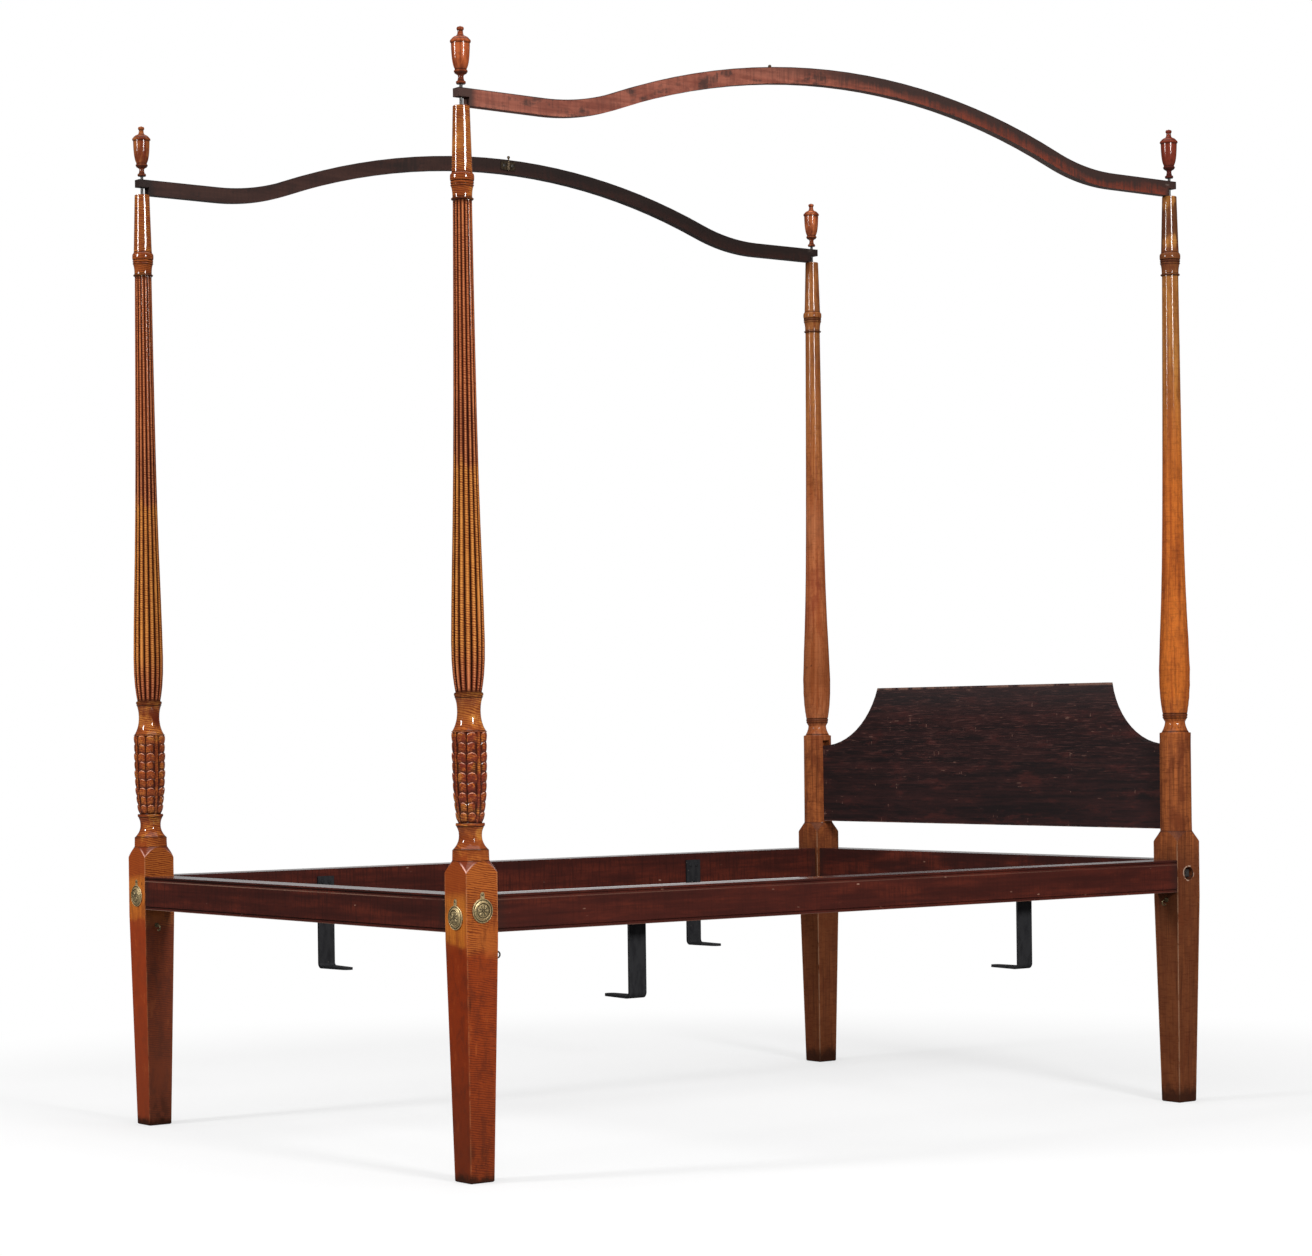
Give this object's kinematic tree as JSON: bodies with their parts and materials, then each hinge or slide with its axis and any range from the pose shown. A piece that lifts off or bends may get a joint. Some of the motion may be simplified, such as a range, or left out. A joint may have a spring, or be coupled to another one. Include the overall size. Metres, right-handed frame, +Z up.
{
  "type": "tall-post tester bed",
  "caption": "Tall-post bed with reeded and leaf-carved foot posts, bolted square rails, scooped headboard and arched tester rails held on pins by urn finials.",
  "frame": {"origin": "on the floor, at the middle of the bed between the four posts", "axes": "+X across the bed to the side that is nearer in the picture (the right side, seen from the foot), +Y from the foot to the head, +Z up"},
  "size_m": [1.322, 2.013, 2.2228],
  "materials": {
    "foot_post_maple": "glossy varnish over figured maple",
    "head_post_maple": "worn varnish over plain maple",
    "rail_wood": "dark red-brown stain, worn",
    "headboard_wood": "near-black red-brown stain, scratched",
    "tester_wood": "reddish brown stain with dark grey marks",
    "hinge_brass": "dark with age",
    "hinge_screw_steel": "dark, aged",
    "finial_maple": "glossy red-orange brown varnish",
    "pin_steel": "dull",
    "cover_brass": "aged olive gold",
    "cover_pin_brass": "dark",
    "bolt_iron": "dark, slightly rusty",
    "black_iron": "worn black paint",
    "hook_brass": "aged"
  },
  "bodies": {
    "frame": {"foot_post_right": "foot_post_maple", "foot_post_left": "foot_post_maple", "head_post_right": "head_post_maple", "head_post_left": "head_post_maple", "side_rail_right": "rail_wood", "side_rail_left": "rail_wood", "foot_rail": "rail_wood", "head_rail": "rail_wood", "headboard": "headboard_wood", "post_pins": "pin_steel", "cover_pins": "cover_pin_brass", "bed_bolts": "bolt_iron", "bed_nuts": "bolt_iron", "iron_right_foot": "black_iron", "iron_right_head": "black_iron", "iron_left_foot": "black_iron", "iron_left_head": "black_iron", "iron_screws": "black_iron", "post_hooks": "hook_brass"},
    "tester_right": {"tester_right_foot_half": "tester_wood", "tester_right_head_half": "tester_wood", "hinge_right_foot_leaf": "hinge_brass", "hinge_right_head_leaf": "hinge_brass", "hinge_right_pin": "hinge_brass", "hinge_right_screws": "hinge_screw_steel"},
    "tester_left": {"tester_left_foot_half": "tester_wood", "tester_left_head_half": "tester_wood", "hinge_left_foot_leaf": "hinge_brass", "hinge_left_head_leaf": "hinge_brass", "hinge_left_pin": "hinge_brass", "hinge_left_screws": "hinge_screw_steel"},
    "finial_foot_right_body": {"finial_foot_right": "finial_maple"},
    "finial_foot_left_body": {"finial_foot_left": "finial_maple"},
    "finial_head_right_body": {"finial_head_right": "finial_maple"},
    "finial_head_left_body": {"finial_head_left": "finial_maple"},
    "cover_right_foot_face_body": {"cover_right_foot_face": "cover_brass"},
    "cover_right_side_face_body": {"cover_right_side_face": "cover_brass"},
    "cover_left_foot_face_body": {"cover_left_foot_face": "cover_brass"},
    "cover_left_side_face_body": {"cover_left_side_face": "cover_brass"}
  },
  "joints": [
    {"name": "tester_right_lift", "type": "slide", "parent": "frame", "child": "tester_right", "axis": [0, 0, 1], "range_m": [0, 0.085]},
    {"name": "tester_left_lift", "type": "slide", "parent": "frame", "child": "tester_left", "axis": [0, 0, 1], "range_m": [0, 0.085]},
    {"name": "finial_foot_right_lift", "type": "slide", "parent": "tester_right", "child": "finial_foot_right_body", "axis": [0, 0, 1], "range_m": [0, 0.045]},
    {"name": "finial_foot_left_lift", "type": "slide", "parent": "tester_left", "child": "finial_foot_left_body", "axis": [0, 0, 1], "range_m": [0, 0.045]},
    {"name": "finial_head_right_lift", "type": "slide", "parent": "tester_right", "child": "finial_head_right_body", "axis": [0, 0, 1], "range_m": [0, 0.045]},
    {"name": "finial_head_left_lift", "type": "slide", "parent": "tester_left", "child": "finial_head_left_body", "axis": [0, 0, 1], "range_m": [0, 0.045]},
    {"name": "cover_right_side_face_swing", "type": "hinge", "parent": "frame", "child": "cover_right_side_face_body", "pos_m": [0.656, -0.968, 0.548], "axis": [1, 0, 0], "range_deg": [-22, 120]},
    {"name": "cover_right_foot_face_swing", "type": "hinge", "parent": "frame", "child": "cover_right_foot_face_body", "pos_m": [0.62, -1.004, 0.535], "axis": [0, 1, 0], "range_deg": [-22, 120]},
    {"name": "cover_left_side_face_swing", "type": "hinge", "parent": "frame", "child": "cover_left_side_face_body", "pos_m": [-0.656, -0.968, 0.548], "axis": [1, 0, 0], "range_deg": [-22, 120]},
    {"name": "cover_left_foot_face_swing", "type": "hinge", "parent": "frame", "child": "cover_left_foot_face_body", "pos_m": [-0.62, -1.004, 0.535], "axis": [0, 1, 0], "range_deg": [-120, 22]}
  ]
}
